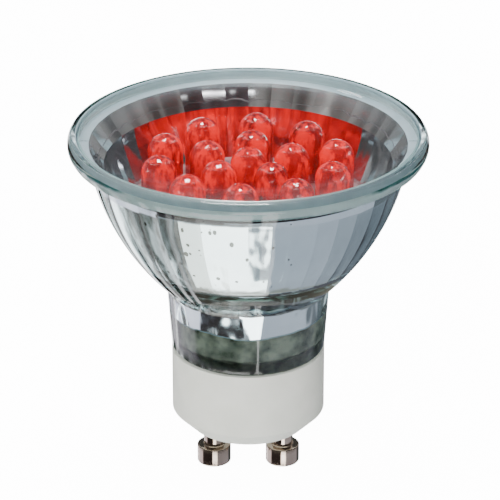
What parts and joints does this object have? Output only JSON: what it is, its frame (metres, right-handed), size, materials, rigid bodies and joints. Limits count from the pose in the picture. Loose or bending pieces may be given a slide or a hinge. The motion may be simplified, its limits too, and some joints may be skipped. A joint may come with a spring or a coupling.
{
  "type": "led spotlight bulb",
  "caption": "Two-pin twist-lock reflector lamp: a fluted, silvered glass bowl with a cover glass, round red diodes inside, a clear neck and a white ceramic base.",
  "frame": {"origin": "on the lamp's axis, at the level of the ends of the two contact pins", "axes": "+Z along the lamp's axis, from the cap to the lit front; X through both contact pins; the picture looks along +Y with +X to its right"},
  "size_m": [0.0508, 0.0508, 0.052],
  "materials": {
    "reflector_glass": "pressed clear glass, silvered on its fluted inside",
    "cover_glass": "clear, polished",
    "ceramic": "white, unglazed, matte",
    "cement": "grey lamp cement, matte",
    "pin_nickel": "turned and nickel-plated",
    "strip_brass": "stamped, bright",
    "board_laminate": "glass-fibre laminate, dark green",
    "capacitor_case": "moulded box, yellow",
    "capacitor_can": "can in a dark plastic sleeve",
    "rectifier_case": "moulded, black",
    "resistor_body": "lacquered ceramic rod, pale blue",
    "lead_tin": "tinned steel, satin",
    "diode_epoxy": "red tinted clear epoxy"
  },
  "bodies": {
    "root": {"base_cement": "cement", "bleed_resistor": "resistor_body", "bridge_rectifier": "rectifier_case", "ceramic_base": "ceramic", "contact_pin_left": "pin_nickel", "contact_pin_right": "pin_nickel", "contact_strip_left": "strip_brass", "contact_strip_right": "strip_brass", "cover_glass": "cover_glass", "driver_board": "board_laminate", "film_capacitor": "capacitor_case", "fusible_resistor": "resistor_body", "glass_reflector": "reflector_glass", "led_01_leads": "lead_tin", "led_01_lens": "diode_epoxy", "led_02_leads": "lead_tin", "led_02_lens": "diode_epoxy", "led_03_leads": "lead_tin", "led_03_lens": "diode_epoxy", "led_04_leads": "lead_tin", "led_04_lens": "diode_epoxy", "led_05_leads": "lead_tin", "led_05_lens": "diode_epoxy", "led_06_leads": "lead_tin", "led_06_lens": "diode_epoxy", "led_07_leads": "lead_tin", "led_07_lens": "diode_epoxy", "led_08_leads": "lead_tin", "led_08_lens": "diode_epoxy", "led_09_leads": "lead_tin", "led_09_lens": "diode_epoxy", "led_10_leads": "lead_tin", "led_10_lens": "diode_epoxy", "led_11_leads": "lead_tin", "led_11_lens": "diode_epoxy", "led_12_leads": "lead_tin", "led_12_lens": "diode_epoxy", "led_13_leads": "lead_tin", "led_13_lens": "diode_epoxy", "led_14_leads": "lead_tin", "led_14_lens": "diode_epoxy", "led_15_leads": "lead_tin", "led_15_lens": "diode_epoxy", "led_16_leads": "lead_tin", "led_16_lens": "diode_epoxy", "led_board": "board_laminate", "link_pin_back": "lead_tin", "link_pin_front": "lead_tin", "smoothing_capacitor": "capacitor_can"}
  },
  "joints": []
}
